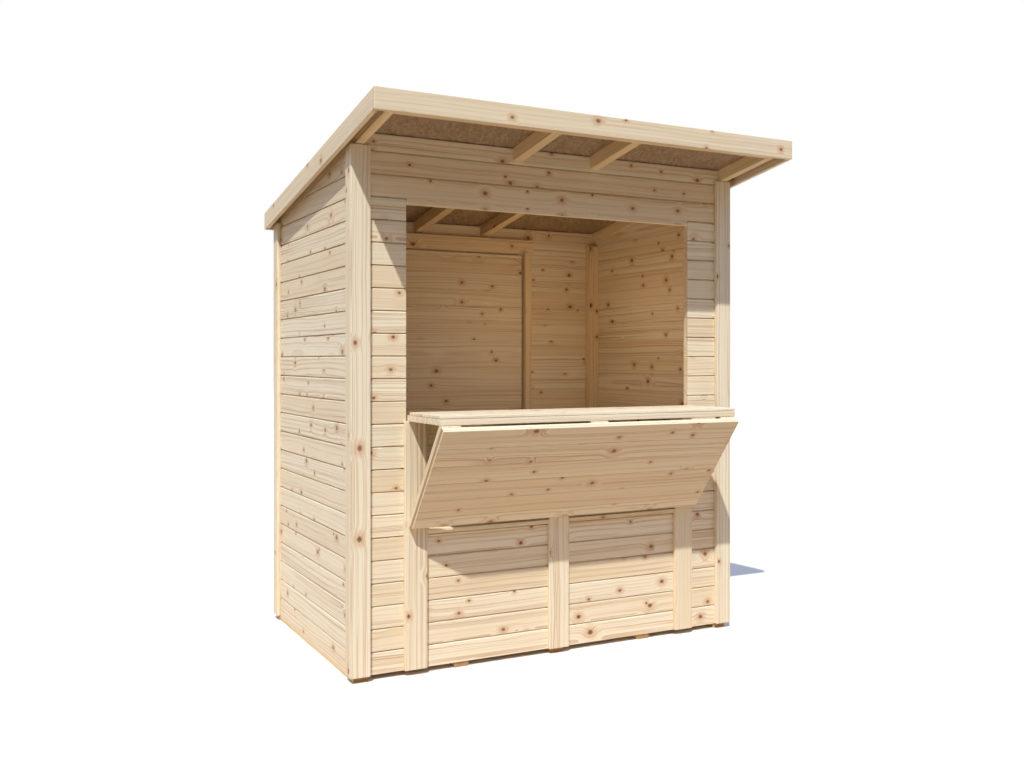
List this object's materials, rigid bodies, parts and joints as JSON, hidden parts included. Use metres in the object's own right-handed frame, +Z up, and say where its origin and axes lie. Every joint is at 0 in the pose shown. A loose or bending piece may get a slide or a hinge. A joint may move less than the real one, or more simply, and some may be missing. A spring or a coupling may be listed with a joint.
{
  "type": "wooden market stall",
  "caption": "Small boarded market hut with a mono-pitch roof, a serving opening with a folding hatch counter, and a boarded rear door.",
  "frame": {"origin": "on the ground at the middle of the footprint, under the middle bearer", "axes": "+X to the right along the front, +Y from the serving front to the rear door, +Z up"},
  "size_m": [1.915, 1.536, 2.188],
  "materials": {
    "spruce_boards": "untreated planed tongue-and-groove spruce with small brown knots",
    "planed_trim": "untreated planed spruce trim, grain along its length",
    "sawn_spruce": "untreated sawn spruce framing",
    "osb_sheet": "oriented strand board, flakes showing",
    "roof_felt": "mineral roofing felt, matt",
    "steel": "zinc-plated steel"
  },
  "bodies": {
    "stall": {"bearers": "sawn_spruce", "floor": "sawn_spruce", "front_wall_left": "spruce_boards", "front_wall_right": "spruce_boards", "front_wall_below": "spruce_boards", "front_header": "spruce_boards", "right_wall": "spruce_boards", "left_wall": "spruce_boards", "rear_wall_right": "spruce_boards", "rear_wall_left": "spruce_boards", "rear_wall_over_door": "spruce_boards", "door_threshold": "spruce_boards", "front_corner_trims": "planed_trim", "rear_corner_trims": "planed_trim", "right_corner_strips": "planed_trim", "left_corner_strips": "planed_trim", "front_battens": "planed_trim", "front_ledge": "planed_trim", "sill": "planed_trim", "rafter_1": "sawn_spruce", "rafter_2": "sawn_spruce", "rafter_3": "sawn_spruce", "rafter_4": "sawn_spruce", "roof_sheet": "osb_sheet", "roof_felt": "roof_felt", "front_trimmer": "sawn_spruce", "fascia_front": "planed_trim", "fascia_rear": "planed_trim", "side_fascias": "planed_trim", "corner_posts": "sawn_spruce", "lintel_board": "sawn_spruce", "door_posts": "sawn_spruce", "door_casing": "planed_trim", "counter_leaf": "spruce_boards", "front_leaf": "spruce_boards", "front_leaf_battens": "planed_trim", "counter_battens": "planed_trim", "door_hinge_brackets": "steel", "counter_hinges": "steel", "fold_hinges": "steel"},
    "door": {"door_leaf": "spruce_boards", "door_stiles": "planed_trim", "door_hinge_straps": "steel", "door_handle": "steel"}
  },
  "joints": [
    {"name": "door_hinge", "type": "hinge", "parent": "stall", "child": "door", "pos_m": [-0.415, 0.581, 0], "axis": [0, 0, 1], "range_deg": [0, 110]}
  ]
}
